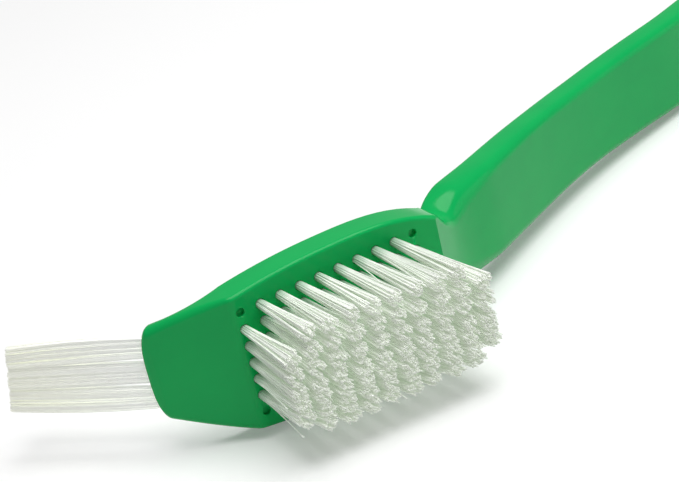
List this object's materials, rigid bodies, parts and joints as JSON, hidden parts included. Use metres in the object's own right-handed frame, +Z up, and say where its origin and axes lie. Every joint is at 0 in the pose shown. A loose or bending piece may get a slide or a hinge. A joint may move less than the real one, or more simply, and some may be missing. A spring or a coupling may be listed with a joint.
{
  "type": "pet toothbrush",
  "caption": "Pet toothbrush: one moulded handle and head with a field of bristle tufts in the face and a flat brush out of the sloping nose.",
  "frame": {"origin": "middle of the box on the ground that the brush lies on, on its side", "axes": "+X along the brush from the nose brush to the handle end, +Y towards the back of the head, away from the bristles, +Z up"},
  "size_m": [0.2066, 0.0813, 0.0295],
  "materials": {
    "green_plastic": "smooth moulded gloss",
    "white_bristle": "satin nylon filament",
    "clear_bristle": "clear nylon filament",
    "anchor_metal": "sheared strip"
  },
  "bodies": {
    "root": {"handle": "green_plastic", "tuft_row_1": "white_bristle", "tuft_row_2": "white_bristle", "tuft_row_3": "white_bristle", "tuft_row_4": "white_bristle", "tuft_row_5": "white_bristle", "tuft_row_6": "white_bristle", "tuft_row_7": "white_bristle", "anchor_row_1": "anchor_metal", "anchor_row_2": "anchor_metal", "anchor_row_3": "anchor_metal", "anchor_row_4": "anchor_metal", "anchor_row_5": "anchor_metal", "anchor_row_6": "anchor_metal", "anchor_row_7": "anchor_metal", "nose_tuft_upper": "clear_bristle", "nose_tuft_middle": "clear_bristle", "nose_tuft_lower": "clear_bristle", "nose_anchor_upper": "anchor_metal", "nose_anchor_middle": "anchor_metal", "nose_anchor_lower": "anchor_metal"}
  },
  "joints": []
}
